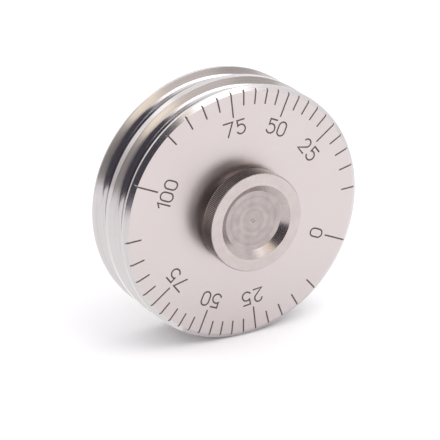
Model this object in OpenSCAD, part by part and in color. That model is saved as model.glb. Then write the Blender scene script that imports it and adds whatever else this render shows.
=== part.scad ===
// Graduated rotary table head: a percent dial clamped on the spindle of a
// grooved, ball-bearing body, with a crank pin at the back.
//
// Every sub-part is drawn on the spindle axis as local +Z, from the rear
// mounting face at z = 0 towards the dial at the front. axial() then lays that
// axis along -Y, so the head stands on its rim with +Z up.

/* [Wheel] */
// Diameter over the lands of the rim
wheel_d = 80; // [76:1:90]
// Diameter of the dial over its land, a little under the body
dial_d = 79.6; // [75:0.2:90]
// Thickness from the rear mounting face to the front of the dial
stack_t = 21; // [20.8:0.1:22]
// Bevel around the front of the dial, along the face
edge_bevel = 1.5; // [0.8:0.1:1.8]
// The same bevel, along the axis
edge_bevel_h = 1; // [0.6:0.1:1.6]
// Land between the bevel and the front groove
front_land = 0.7; // [0.5:0.1:1.2]
// Width of the front groove
front_groove_w = 7.8; // [6:0.1:7.9]
// Land between the two grooves
middle_land = 2.3; // [2:0.1:3]
// Width of the rear groove
rear_groove_w = 8.2; // [6:0.1:8.4]
// Depth of both grooves
groove_depth = 3.0; // [2.6:0.1:3.2]
// Lean of a groove's walls, out of square
groove_lean = 22; // [15:1:30]
// Radius between a groove's floor and its walls
groove_corner_r = 1.9; // [1:0.1:2]

/* [Scale] */
// Angle of the 0 mark, counter-clockwise from the right
zero_angle = -23.4; // [-180:0.1:180]
// Width of an engraved line
line_w = 0.5; // [0.2:0.01:0.6]
// Depth of the engraving
line_depth = 0.15; // [0.1:0.01:0.3]
// Length of a short mark on the face
short_mark = 3.9; // [3:0.1:5]
// Length of a long mark on the face
long_mark = 7; // [6:0.1:8]
// Percent between neighbouring marks
mark_step = 5; // [5, 25]
// Percent between long, numbered marks
number_step = 25; // [25, 50]
// Height of a digit
digit_h = 4.3; // [3:0.1:5]
// Width of the widest digit
digit_w = 3.1; // [2.4:0.1:3.4]
// Gap between neighbouring digits
digit_gap = 1.1; // [0.6:0.1:1.4]
// Radius of the ring that the numbers are centred on
number_r = 27.75; // [26:0.05:29]

/* [Clamp knob] */
// Diameter over the knurl
knob_d = 30.8; // [28:0.1:34]
// Height of the knob's front above the dial
knob_h = 7.8; // [7.4:0.1:10]
// Width of the knurled band with its two bevels
knob_band = 5.2; // [4.5:0.1:5.6]
// Bevel on the edges of the knurled band
knob_bevel = 0.3; // [0.2:0.1:0.8]
// Diameter of the plain neck behind the band
knob_neck_d = 26; // [20:0.5:27]
// Diameter of the dish at the knob's face
dish_d = 23.2; // [18:0.1:24]
// Diameter of the dish's floor
dish_floor_d = 18.6; // [14:0.1:20]
// Depth of the dish
dish_depth = 1.9; // [1:0.1:2]
// Diameter of the clamping thread
thread_d = 10; // [8:1:10]

/* [Bearings] */
// Bore of both ball bearings
bearing_bore = 15; // [15]
// Outside diameter of both ball bearings
bearing_od = 24; // [24]
// Width of each ball bearing
bearing_w = 5; // [5]
// Diameter of the balls
ball_d = 2.38; // [2:0.01:2.4]
// Balls in each bearing
ball_count = 14; // [8:1:16]

/* [Crank] */
// Distance of the crank pin from the spindle axis
crank_throw = 12; // [11:0.5:12]
// Diameter of the crank disc
crank_d = 36; // [35:0.5:36]
// Diameter of the crank pin
pin_d = 5; // [4:0.5:6]
// Diameter of the roller on the crank pin
roller_d = 12; // [10:0.5:12]
// Length of the roller
roller_len = 6; // [4:0.5:8]

/* [Mounting] */
// Diameter of the bolt and dowel circle in the rear face
mount_pcd = 64; // [62:0.5:65]
// Diameter of the tapped mounting holes
mount_hole_d = 3.3; // [3.2:0.1:3.4]
// Depth of the tapped mounting holes
mount_hole_depth = 9; // [6:0.5:10]
// Mounting holes in the circle
mount_holes = 4; // [4]
// Diameter of the two dowel pins
dowel_d = 4; // [3:0.5:4]
// Length of a dowel pin that stands out of the rear face
dowel_out = 4; // [2:0.5:6]

/* [Hidden] */

$fn = 128;
fit = 0.02;          // radial clearance of parts that are assembled tight
running = 0.05;      // clearance of parts that turn on each other
cut = 1;             // how far a cutting tool reaches past a face
sink_gap = 0.15;     // clearance of a screw in its countersunk hole
sink_z = 0.1;        // how far a screw head is sunk below the face
sliver = 0.01;       // keeps two faces from lying in one plane

// Rim: planes along the axis, counted from the rear face
wheel_r = wheel_d / 2;
dial_r = dial_d / 2;
front_groove_z = stack_t - edge_bevel_h - front_land - front_groove_w / 2;
rear_groove_z = front_groove_z - front_groove_w / 2 - middle_land - rear_groove_w / 2;
groove_steps = 9;    // facets in the corner of a groove
rear_bevel = 0.2;
plate_gap = 0.2;
dowel_root_r = dowel_d / 2 + 0.5;
edge = 0.5;          // broken edge of a pin or a disc
hole_tip = 0.3;      // gap left at the bottom of a hole
mount_angle = 45;    // place of the first mounting hole
mark_runout = 0.5;   // how far a mark's cut reaches past the face

// Shapes of the digits, as shares of their width or height
digit_shares = [0.84, 0.4, 0.9, 1, 1, 0.94, 1, 1, 1, 1]; // widths of 0 to 9 against digit_w
flag_share = 0.3;    // foot of the 1's flag, above the middle
bowl_share = 0.9;    // bowl of the 2, and the top bar of the 5
neck_share = 0.7;    // left end of the 5's top bar
foot_share = 0.2;    // foot of the 7, left of the middle

// Body: a flat face that the dial covers and a boss that reaches into the dial
body_front_z = front_groove_z - plate_gap / 2;
plate_rear_z = front_groove_z + plate_gap / 2;
boss_r = 22;
boss_z = body_front_z + 1.7;
plate_recess_r = boss_r + 0.5;
plate_floor_z = plate_rear_z + 3;

// Spindle unit
race_front_z = boss_z - 1.6;
spacer_w = 1;
spacer_wall = 1.3;
race_mid_front_z = race_front_z - bearing_w;
race_mid_rear_z = race_mid_front_z - spacer_w;
race_rear_z = race_mid_rear_z - bearing_w;
bore_r = bearing_bore / 2;
outer_r = bearing_od / 2;
ball_track_r = (bore_r + outer_r) / 2;
race_shoulder = 0.8;
race_groove_r = ball_d / 2 + running;
cage_half = 0.6;
cage_w = 3.4;
lip_r = 10.4;
shoulder_r = 9.3;
flange_r = 15;
flange_z = boss_z + 0.25;
seat_r = 7;
bush_r = seat_r + 2;
nose_z = stack_t + 4.7;
nose_bevel = 0.6;
seat_step = 0.3;

// Rear cover and the parts around the spindle's tail
cover_r = 26;
cover_t = race_rear_z - 1;
cover_bore_r = 10.3;
cover_pocket_r = crank_d / 2 + 0.4;
cover_pocket_z = cover_t - 1.1;
cover_screw_pcd = 45;
cover_screws_n = 6;
cover_screw_angle = 30;
screw_r = 1.25;
screw_head_r = 2.3;
screw_len = 7;
screw_tip_gap = 0.5;
screw_socket_r = 0.8;
screw_socket_h = 0.7;
hub_r = 9;
tail_r = 5;
tail_z = -1;
crank_front_z = cover_pocket_z - 0.3;
crank_rear_z = -3;
key_w = 2;
end_screw_r = 2;
end_screw_head_r = 3.8;
end_screw_tip_z = 7;
end_socket_r = 1.4;
end_socket_h = 1.2;
key_h = 2.8;

// Crank pin and roller
collar_z = crank_rear_z - 0.5;
roller_rear_z = collar_z - 0.1 - roller_len;
clip_t = 0.6;
clip_z = roller_rear_z - 0.1 - clip_t;
pin_end_z = clip_z - 1;
collar_w = 1.1;
clip_w = 1.6;
clip_groove_r = pin_d / 2 - 0.5;
clip_mouth = 0.8;    // half the clip's mouth, as a share of its bore
clip_hole_r = 0.6;
clip_hole_path_r = pin_d / 2 + 0.3;
clip_hole_angle = 125;

// Knob
knob_r = knob_d / 2;
knob_front_z = stack_t + knob_h;
knob_band_z = knob_front_z - knob_band;
washer_step = 0.5;
washer_play = 0.3;
washer_rear_z = stack_t + running;
washer_front_z = washer_rear_z + 0.8;
knob_rear_z = washer_front_z + running;
thread_end_z = nose_z + 0.3;

// Dust ring
dust_r = 30;
dust_wire_r = 0.75;
dust_z = body_front_z - dust_wire_r + 0.1;
dust_groove_half = 0.95;
dust_groove_depth = 1.5;

// ---------- helpers ----------

// Lays the local +Z axis along -Y
module axial() {
    rotate([90, 0, 0]) children();
}

// Tube between two planes
module tube(outer, inner, z_low, z_high) {
    translate([0, 0, z_low]) difference() {
        cylinder(h = z_high - z_low, r = outer);
        translate([0, 0, -cut]) cylinder(h = z_high - z_low + 2 * cut, r = inner);
    }
}

// Round bar between two planes
module bar(radius, z_low, z_high) {
    translate([0, 0, z_low]) cylinder(h = z_high - z_low, r = radius);
}

// Cutting ring with a round section
module ring_cutter(path_r, wire_r, z) {
    translate([0, 0, z]) rotate_extrude() translate([path_r, 0]) circle(r = wire_r, $fn = 48);
}

// Cutter for a rim groove: leaning walls, rounded corners and a flat floor
module groove_cutter(width, z) {
    corner_z = width / 2 - (groove_depth - groove_corner_r) * tan(groove_lean) - groove_corner_r / cos(groove_lean);
    corner_path_r = wheel_r - groove_depth + groove_corner_r;
    corner = [for (i = [0:groove_steps]) let(a = (90 - groove_lean) * i / groove_steps)
        [corner_path_r - groove_corner_r * cos(a), corner_z + groove_corner_r * sin(a)]];
    mouth = [wheel_r + cut, width / 2 + cut * tan(groove_lean)];
    translate([0, 0, z]) rotate_extrude() polygon(concat(
        corner, [mouth, [mouth[0], -mouth[1]]],
        [for (i = [groove_steps:-1:0]) [corner[i][0], -corner[i][1]]]));
}

// Places children around the axis
module around(count, radius, start = 0) {
    for (i = [0:count - 1]) rotate([0, 0, start + i * 360 / count]) translate([radius, 0, 0]) children();
}

// ---------- engraved scale ----------

// Arc stroke of the engraving tool, from angle a0 to a1
module arc_stroke(radius, a0, a1) {
    rotate([0, 0, a0]) rotate_extrude(angle = a1 - a0, $fn = 48)
        translate([radius - line_w / 2, 0]) square([line_w, line_depth + cut]);
}

// Straight stroke between two points
module line_stroke(p, q) {
    d = q - p;
    translate([p[0], p[1], 0]) rotate([0, 0, atan2(d[1], d[0])])
        translate([-line_w / 2, -line_w / 2, 0]) cube([norm(d) + line_w, line_w, line_depth + cut]);
}

// Width of a digit's box
function width_of(d) = digit_w * digit_shares[d];

module digit_0() {
    r = width_of(0) / 2;
    s = digit_h / 2 - r;
    translate([0, s, 0]) arc_stroke(r, 0, 180);
    translate([0, -s, 0]) arc_stroke(r, 180, 360);
    line_stroke([r, -s], [r, s]);
    line_stroke([-r, -s], [-r, s]);
}

module digit_1() {
    x = width_of(1) / 2;
    line_stroke([x, -digit_h / 2], [x, digit_h / 2]);
    line_stroke([x, digit_h / 2], [-x, digit_h * flag_share]);
}

module digit_2() {
    x = width_of(2) / 2;
    r = x * bowl_share;
    y = digit_h / 2 - r;
    translate([0, y, 0]) arc_stroke(r, -40, 170);
    line_stroke([r * cos(40), y - r * sin(40)], [-x, -digit_h / 2]);
    line_stroke([-x, -digit_h / 2], [x, -digit_h / 2]);
}

module digit_5() {
    x = width_of(5) / 2;
    y = -digit_h / 2 + x;
    translate([0, y, 0]) arc_stroke(x, -150, 130);
    line_stroke([x * cos(130), y + x * sin(130)], [-x * neck_share, digit_h / 2]);
    line_stroke([-x * neck_share, digit_h / 2], [x * bowl_share, digit_h / 2]);
}

module digit_7() {
    x = width_of(7) / 2;
    line_stroke([-x, digit_h / 2], [x, digit_h / 2]);
    line_stroke([x, digit_h / 2], [-x * foot_share, -digit_h / 2]);
}

module digit(d) {
    if (d == 0) digit_0();
    if (d == 1) digit_1();
    if (d == 2) digit_2();
    if (d == 5) digit_5();
    if (d == 7) digit_7();
}

// Left edge of a digit's box, and the whole width when i counts all the digits
function left_of(digits, i) = i == 0 ? 0 : left_of(digits, i - 1) + width_of(digits[i - 1]) + digit_gap;

// Whole number, centred, read with its top away from the spindle
module number(value) {
    digits = value >= 100 ? [1, 0, 0] : value >= 10 ? [floor(value / 10), value % 10] : [0];
    whole = left_of(digits, len(digits)) - digit_gap;
    for (i = [0:len(digits) - 1])
        translate([left_of(digits, i) + width_of(digits[i]) / 2 - whole / 2, 0, 0]) digit(digits[i]);
}

// Angle of a percentage on the crank's scale
function scale_angle(percent) = acos(1 - percent / 50);

// One mark, cut a little way down the bevel
module mark(angle, inward) {
    rotate([0, 0, angle]) translate([dial_r - edge_bevel - inward, -line_w / 2, 0])
        cube([inward + mark_runout, line_w, line_depth + cut]);
}

module scale_cuts() {
    for (side = [1, -1]) for (p = [0:mark_step:100])
        if (side == 1 || (p > 0 && p < 100)) {
            angle = zero_angle + side * scale_angle(p);
            mark(angle, p % number_step == 0 ? long_mark : short_mark);
            if (p % number_step == 0)
                rotate([0, 0, angle]) translate([number_r, 0, 0]) rotate([0, 0, -90]) number(p);
        }
}

// ---------- dial group ----------

module dial_plate() {
    color([0.87, 0.85, 0.85]) axial() difference() {
        rotate_extrude() polygon([
            [0, plate_rear_z], [dial_r, plate_rear_z], [dial_r, stack_t - edge_bevel_h],
            [dial_r - edge_bevel, stack_t], [0, stack_t]]);
        groove_cutter(front_groove_w, front_groove_z);
        bar(plate_recess_r, plate_rear_z - cut, plate_floor_z);
        bar(bush_r + fit, plate_rear_z, stack_t + cut);
        translate([0, 0, stack_t - line_depth]) scale_cuts();
    }
}

module dial_bush() {
    color([0.72, 0.56, 0.3]) axial() tube(bush_r, seat_r + running, plate_floor_z, stack_t - running);
}

module thrust_washer() {
    color([0.7, 0.7, 0.72]) axial() tube(knob_neck_d / 2 - washer_step, thread_d / 2 + washer_play, washer_rear_z, washer_front_z);
}

module clamp_knob() {
    color([0.82, 0.8, 0.8]) axial() difference() {
        rotate_extrude() polygon([
            [0, knob_rear_z], [knob_neck_d / 2, knob_rear_z], [knob_neck_d / 2, knob_band_z],
            [knob_r - knob_bevel, knob_band_z], [knob_r, knob_band_z + knob_bevel],
            [knob_r, knob_front_z - knob_bevel], [knob_r - knob_bevel, knob_front_z],
            [dish_d / 2, knob_front_z], [dish_floor_d / 2, knob_front_z - dish_depth],
            [0, knob_front_z - dish_depth]]);
        bar(thread_d / 2 + running, knob_rear_z - cut, thread_end_z);
    }
}

// ---------- body group ----------

module grooved_body() {
    color([0.8, 0.8, 0.8]) axial() difference() {
        union() {
            rotate_extrude() polygon([
                [0, 0], [wheel_r - rear_bevel, 0], [wheel_r, rear_bevel],
                [wheel_r, body_front_z], [0, body_front_z]]);
            bar(boss_r, 0, boss_z);
        }
        groove_cutter(front_groove_w, front_groove_z);
        groove_cutter(rear_groove_w, rear_groove_z);
        bar(lip_r, -cut, boss_z + cut);
        bar(outer_r + fit, -cut, race_front_z);
        bar(cover_r + fit, -cut, cover_t);
        tube(dust_r + dust_groove_half, dust_r - dust_groove_half, body_front_z - dust_groove_depth, body_front_z + cut);
        around(cover_screws_n, cover_screw_pcd / 2, cover_screw_angle) bar(screw_r + fit, cover_t - cut, screw_len + screw_tip_gap);
        around(mount_holes, mount_pcd / 2, mount_angle) bar(mount_hole_d / 2, -cut, mount_hole_depth);
        around(2, mount_pcd / 2) bar(dowel_root_r + fit, -cut, mount_hole_depth);
        rotate([0, 0, zero_angle]) translate([wheel_r - line_depth, -line_w / 2, front_groove_z - front_groove_w / 2 - middle_land])
            cube([cut, line_w, middle_land]);
    }
}

module dust_ring() {
    color([0.12, 0.12, 0.13]) axial() ring_cutter(dust_r, dust_wire_r, dust_z);
}

module rear_cover() {
    color([0.76, 0.76, 0.77]) axial() difference() {
        bar(cover_r, 0, cover_t - fit);
        bar(cover_bore_r + fit, -cut, cover_t + cut);
        bar(cover_pocket_r, -cut, cover_pocket_z);
        around(cover_screws_n, cover_screw_pcd / 2, cover_screw_angle) {
            bar(screw_r + sink_gap, -cut, cover_t + cut);
            translate([0, 0, -sliver])
                cylinder(h = screw_head_r - screw_r, r1 = screw_head_r + sink_gap, r2 = screw_r + sink_gap);
        }
    }
}

module cover_screws() {
    color([0.25, 0.25, 0.27]) axial() around(cover_screws_n, cover_screw_pcd / 2, cover_screw_angle) difference() {
        union() {
            translate([0, 0, sink_z]) cylinder(h = screw_head_r - screw_r, r1 = screw_head_r, r2 = screw_r);
            bar(screw_r, sink_z, screw_len);
        }
        translate([0, 0, sink_z - cut]) cylinder(h = cut + screw_socket_h, r = screw_socket_r, $fn = 6);
    }
}

module dowel_pins() {
    color([0.66, 0.67, 0.7]) axial() around(2, mount_pcd / 2)
        rotate_extrude() polygon([
            [0, -dowel_out], [dowel_d / 2 - edge, -dowel_out], [dowel_d / 2, -dowel_out + edge],
            [dowel_d / 2, 0], [dowel_root_r, 0],
            [dowel_root_r, mount_hole_depth - hole_tip], [0, mount_hole_depth - hole_tip]]);
}

module shaft_seal() {
    color([0.15, 0.15, 0.16]) axial() tube(cover_bore_r, hub_r + running, cover_pocket_z + running, cover_t - running);
}

// Ring bent into three waves, drawn as one closed strip
module wave_spring() {
    waves = 3;
    steps = 72;
    thick = 0.3;
    air = 0.04;
    inner_r = cover_bore_r + 0.4;
    rim_r = outer_r - 0.1;
    swing = (race_rear_z - cover_t - thick) / 2 - air;
    mid = (cover_t + race_rear_z) / 2;
    function height(i) = mid + swing * cos(waves * i * 360 / steps);
    function corner(i, r, dz) = [r * cos(i * 360 / steps), r * sin(i * 360 / steps), height(i) + dz];
    section = [[inner_r, -thick / 2], [rim_r, -thick / 2], [rim_r, thick / 2], [inner_r, thick / 2]];
    points = [for (i = [0:steps - 1]) for (s = section) corner(i, s[0], s[1])];
    faces = [for (i = [0:steps - 1]) for (k = [0:3])
        [4 * i + k, 4 * ((i + 1) % steps) + k, 4 * ((i + 1) % steps) + (k + 1) % 4, 4 * i + (k + 1) % 4]];
    color([0.5, 0.52, 0.56]) axial() polyhedron(points, faces, convexity = 4);
}

module outer_spacer() {
    color([0.6, 0.6, 0.62]) axial() tube(outer_r, outer_r - spacer_wall, race_mid_rear_z, race_mid_front_z);
}

module inner_spacer() {
    color([0.6, 0.6, 0.62]) axial() tube(bore_r + spacer_wall, bore_r, race_mid_rear_z, race_mid_front_z);
}

// ---------- ball bearings ----------

module outer_race(z_low) {
    difference() {
        tube(outer_r, ball_track_r + race_shoulder, z_low, z_low + bearing_w);
        ring_cutter(ball_track_r, race_groove_r, z_low + bearing_w / 2);
    }
}

module inner_race(z_low) {
    difference() {
        tube(ball_track_r - race_shoulder, bore_r, z_low, z_low + bearing_w);
        ring_cutter(ball_track_r, race_groove_r, z_low + bearing_w / 2);
    }
}

module balls(z_low) {
    around(ball_count, ball_track_r) translate([0, 0, z_low + bearing_w / 2]) sphere(r = ball_d / 2, $fn = 32);
}

module cage(z_low) {
    mid = z_low + bearing_w / 2;
    difference() {
        tube(ball_track_r + cage_half, ball_track_r - cage_half, mid - cage_w / 2, mid + cage_w / 2);
        around(ball_count, 0) translate([0, 0, mid]) rotate([0, 90, 0])
            cylinder(h = outer_r, r = ball_d / 2 + running, $fn = 32);
    }
}

module front_outer_race() { color([0.68, 0.7, 0.73]) axial() outer_race(race_mid_front_z); }
module front_inner_race() { color([0.68, 0.7, 0.73]) axial() inner_race(race_mid_front_z); }
module front_balls() { color([0.85, 0.86, 0.88]) axial() balls(race_mid_front_z); }
module front_cage() { color([0.75, 0.6, 0.3]) axial() cage(race_mid_front_z); }
module rear_outer_race() { color([0.68, 0.7, 0.73]) axial() outer_race(race_rear_z); }
module rear_inner_race() { color([0.68, 0.7, 0.73]) axial() inner_race(race_rear_z); }
module rear_balls() { color([0.85, 0.86, 0.88]) axial() balls(race_rear_z); }
module rear_cage() { color([0.75, 0.6, 0.3]) axial() cage(race_rear_z); }

// ---------- spindle group ----------

// Slot for the crank key, cut along the direction of the 0 mark
module key_space(grow) {
    rotate([0, 0, zero_angle]) translate([tail_r - key_h / 2 - grow, -key_w / 2 - grow, tail_z - grow])
        cube([key_h + 2 * grow, key_w + 2 * grow, race_rear_z - tail_z - hole_tip + 2 * grow]);
}

module spindle() {
    color([0.7, 0.71, 0.73]) axial() difference() {
        rotate_extrude() polygon([
            [0, tail_z], [tail_r, tail_z], [tail_r, race_rear_z], [bore_r - sliver, race_rear_z],
            [bore_r - sliver, race_front_z], [shoulder_r, race_front_z], [shoulder_r, flange_z],
            [flange_r, flange_z], [flange_r, plate_floor_z - running], [seat_r, plate_floor_z - running],
            [seat_r, stack_t - seat_step], [thread_d / 2, stack_t - seat_step],
            [thread_d / 2, nose_z - nose_bevel], [thread_d / 2 - nose_bevel, nose_z], [0, nose_z]]);
        bar(end_screw_r + fit, tail_z - cut, end_screw_tip_z + cut);
        key_space(fit);
    }
}

module crank_disc() {
    color([0.74, 0.74, 0.75]) axial() difference() {
        union() {
            rotate_extrude() polygon([
                [0, crank_rear_z], [crank_d / 2 - edge, crank_rear_z], [crank_d / 2, crank_rear_z + edge],
                [crank_d / 2, crank_front_z], [0, crank_front_z]]);
            bar(hub_r, crank_rear_z, race_rear_z);
        }
        bar(tail_r + fit, tail_z - fit, race_rear_z + cut);
        bar(end_screw_r + sink_gap, crank_rear_z - cut, 0);
        translate([0, 0, crank_rear_z - sliver])
            cylinder(h = end_screw_head_r - end_screw_r, r1 = end_screw_head_r + sink_gap, r2 = end_screw_r + sink_gap);
        key_space(fit);
        rotate([0, 0, zero_angle]) translate([crank_throw, 0, 0]) bar(pin_d / 2 + fit, crank_rear_z - cut, crank_front_z + cut);
    }
}

module crank_key() {
    color([0.45, 0.46, 0.48]) axial() key_space(0);
}

module crank_screw() {
    color([0.25, 0.25, 0.27]) axial() difference() {
        union() {
            translate([0, 0, crank_rear_z + sink_z])
                cylinder(h = end_screw_head_r - end_screw_r, r1 = end_screw_head_r, r2 = end_screw_r);
            bar(end_screw_r, crank_rear_z + sink_z, end_screw_tip_z);
        }
        translate([0, 0, crank_rear_z + sink_z - cut]) cylinder(h = cut + end_socket_h, r = end_socket_r, $fn = 6);
    }
}

// Everything on the crank pin stands on the line of the 0 mark
module on_pin() {
    axial() rotate([0, 0, zero_angle]) translate([crank_throw, 0, 0]) children();
}

module crank_pin() {
    pin_r = pin_d / 2;
    color([0.66, 0.67, 0.7]) on_pin() rotate_extrude() polygon([
        [0, pin_end_z], [clip_groove_r, pin_end_z], [pin_r, pin_end_z + edge], [pin_r, clip_z - fit],
        [clip_groove_r, clip_z - fit], [clip_groove_r, clip_z + clip_t + fit], [pin_r, clip_z + clip_t + fit],
        [pin_r, collar_z], [pin_r + collar_w, collar_z], [pin_r + collar_w, crank_rear_z],
        [pin_r, crank_rear_z], [pin_r, crank_front_z], [0, crank_front_z]]);
}

module crank_roller() {
    roller_r = roller_d / 2;
    bevel = 0.4;
    color([0.78, 0.79, 0.8]) on_pin() rotate_extrude() polygon([
        [pin_d / 2 + running, roller_rear_z], [roller_r - bevel, roller_rear_z], [roller_r, roller_rear_z + bevel],
        [roller_r, roller_rear_z + roller_len - bevel], [roller_r - bevel, roller_rear_z + roller_len],
        [pin_d / 2 + running, roller_rear_z + roller_len]]);
}

module roller_clip() {
    color([0.3, 0.3, 0.32]) on_pin() difference() {
        tube(pin_d / 2 + clip_w, clip_groove_r + fit, clip_z, clip_z + clip_t);
        translate([0, -clip_groove_r * clip_mouth, clip_z - cut])
            cube([pin_d * 2, 2 * clip_groove_r * clip_mouth, clip_t + 2 * cut]);
        around(2, clip_hole_path_r, clip_hole_angle) bar(clip_hole_r, clip_z - cut, clip_z + clip_t + cut);
    }
}

dial_plate();
dial_bush();
thrust_washer();
clamp_knob();
grooved_body();
dust_ring();
rear_cover();
cover_screws();
dowel_pins();
shaft_seal();
wave_spring();
outer_spacer();
inner_spacer();
front_outer_race();
front_inner_race();
front_balls();
front_cage();
rear_outer_race();
rear_inner_race();
rear_balls();
rear_cage();
spindle();
crank_disc();
crank_key();
crank_screw();
crank_pin();
crank_roller();
roller_clip();
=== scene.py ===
import math

import bmesh
import bpy
from mathutils import Matrix, Vector


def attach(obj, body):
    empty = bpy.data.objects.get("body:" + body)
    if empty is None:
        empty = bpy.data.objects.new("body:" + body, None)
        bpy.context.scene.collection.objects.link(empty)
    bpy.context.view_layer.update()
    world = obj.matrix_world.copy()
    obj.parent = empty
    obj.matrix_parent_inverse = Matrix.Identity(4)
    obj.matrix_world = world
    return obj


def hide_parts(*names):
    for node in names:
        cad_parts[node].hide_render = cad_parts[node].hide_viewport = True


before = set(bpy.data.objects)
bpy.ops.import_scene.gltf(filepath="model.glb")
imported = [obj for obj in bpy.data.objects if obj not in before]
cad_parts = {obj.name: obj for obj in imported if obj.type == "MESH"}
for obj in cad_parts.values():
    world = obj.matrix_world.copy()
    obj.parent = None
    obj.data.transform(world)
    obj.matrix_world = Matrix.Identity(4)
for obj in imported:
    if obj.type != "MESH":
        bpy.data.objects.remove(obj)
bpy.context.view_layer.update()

# Graduated rotary table head in stainless steel: a percent dial clamped by a knurled nut on the spindle
# of a grooved body, with a crank roller behind.
#
# Sizes are in millimetres. Every piece is drawn on the spindle axis: x to the right, y up, and z along
# the axis from the rear mounting face towards the dial. place() turns that into the row frame.

MM = 0.001

# Rim
WHEEL_R = 40.0
STACK = 21.0
DIAL_R = 39.8
EDGE_BEVEL = 1.5
EDGE_BEVEL_H = 1.0
FRONT_LAND = 0.7
FRONT_GROOVE_W = 7.8
MIDDLE_LAND = 2.3
REAR_GROOVE_W = 8.2
GROOVE_DEPTH = 3.0
GROOVE_LEAN = math.radians(22)
GROOVE_CORNER_R = 1.9
REAR_BEVEL = 0.2
PLATE_GAP = 0.2
FACE_R = DIAL_R - EDGE_BEVEL
FRONT_GROOVE_Z = STACK - EDGE_BEVEL_H - FRONT_LAND - FRONT_GROOVE_W / 2
REAR_GROOVE_Z = FRONT_GROOVE_Z - FRONT_GROOVE_W / 2 - MIDDLE_LAND - REAR_GROOVE_W / 2
BODY_FRONT = FRONT_GROOVE_Z - PLATE_GAP / 2
PLATE_REAR = FRONT_GROOVE_Z + PLATE_GAP / 2
PLATE_FLOOR = PLATE_REAR + 3.0
BOSS_R = 22.0
BOSS_Z = BODY_FRONT + 1.7

# Scale
ZERO_ANGLE = math.radians(-23.4)
LINE_W = 0.5
LINE_DEPTH = 0.16
SHORT_MARK = 3.9
LONG_MARK = 7.0
MARKS_PER_SIDE = 20
NUMBER_EVERY = 5
DIGIT_H = 4.3
DIGIT_W = {0: 2.6, 1: 1.24, 2: 2.8, 5: 2.9, 7: 3.1}
DIGIT_GAP = 1.1
NUMBER_R = 27.75
MARK_RUNOUT = 0.45
# a stroke is LINE_W wide at the face and tapers to its floor, and its cutter stands above the face
STROKE_RISE = 0.25
STROKE_TAPER = 0.7
STROKE_TOP = LINE_W / 2 * (1 + STROKE_TAPER * STROKE_RISE / LINE_DEPTH)
STROKE_FLOOR = LINE_W * 0.15
# rounded end of a stroke: (how far out, how wide), as shares of its half width
ROUND_END = ((0.85, 0.5), (0.5, 0.87))

# Clamp knob
KNOB_R = 15.4
KNOB_FRONT = STACK + 7.8
KNOB_BAND = KNOB_FRONT - 5.2
KNOB_BEVEL = 0.3
KNOB_NECK_R = 13.0
KNOB_REAR = STACK + 0.9
DISH_R = 11.6
DISH_FLOOR_R = 9.3
DISH_DEPTH = 1.9
KNURL_TEETH = 188
KNURL_DEPTH = 0.26
KNOB_BORE_R = 5.05
KNOB_BORE_END = STACK + 5.0
DIMPLE_R = 0.7
DIMPLE_DEPTH = 0.3
DISH_CROWN = 0.15

# Bores and pockets
SLIP = 0.02
DIAL_BORE_R = 9.0 + SLIP
SHAFT_GAP_R = 10.4
RACE_R = 12.0
BEARING_W = 5.0
SPACER_W = 1.0
SPRING_ROOM = 1.0
RACE_FRONT = BOSS_Z - 1.6
RACE_REAR = RACE_FRONT - 2 * BEARING_W - SPACER_W
COVER_R = 26.0
COVER_T = RACE_REAR - SPRING_ROOM
DUST_R = 30.0
DUST_HALF_W = 0.95
DUST_DEPTH = 1.5

# Holes in the rear face
MOUNT_R = 32.0
MOUNT_HOLE_R = 1.65
DOWEL_HOLE_R = 2.5 + SLIP
HOLE_DEPTH = 9.0

# sides of a turned piece
SEGMENTS = 360


# ---------------------------------------------------------------- mesh helpers

def place(x, y, z):
    """A point of the spindle frame, in millimetres, as a point of the row frame, in metres."""
    return Vector((x, -z, y)) * MM


def arc(centre, radius, start, end, steps=12):
    """Points of an arc in the outline plane (radius, z), from angle start to end in degrees."""
    angles = [math.radians(start + (end - start) * i / steps) for i in range(steps + 1)]
    return [(centre[0] + radius * math.cos(a), centre[1] + radius * math.sin(a)) for a in angles]


def rounded(outline, radius=0.12, steps=3):
    """A closed outline with its sharp corners broken by a small radius. Points at a shallow angle stay."""
    out = []
    count = len(outline)
    for i, point in enumerate(outline):
        here = Vector(point)
        before = Vector(outline[i - 1]) - here
        after = Vector(outline[(i + 1) % count]) - here
        turn = math.pi - before.angle(after)
        if turn < math.radians(25):
            out.append(tuple(here))
            continue
        reach = min(radius * math.tan(turn / 2), before.length * 0.45, after.length * 0.45)
        a = here + before.normalized() * reach
        b = here + after.normalized() * reach
        for k in range(steps + 1):
            t = k / steps
            out.append(tuple((1 - t) ** 2 * a + 2 * t * (1 - t) * here + t * t * b))
    return out


def finish_mesh(bm, name, sharp=40.0):
    """Turns a bmesh into an object at the origin, with clean outward normals and smooth shading."""
    bmesh.ops.remove_doubles(bm, verts=bm.verts, dist=1e-7)
    bmesh.ops.recalc_face_normals(bm, faces=bm.faces)
    mesh = bpy.data.meshes.new(name)
    bm.to_mesh(mesh)
    bm.free()
    return make_object(name, mesh, sharp)


def make_object(name, mesh, sharp=40.0):
    """A smooth-shaded object at the origin, with its corners above the sharp angle kept sharp."""
    mesh.shade_smooth()
    mesh.set_sharp_from_angle(angle=math.radians(sharp))
    piece = bpy.data.objects.new(name, mesh)
    bpy.context.scene.collection.objects.link(piece)
    return piece


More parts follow.
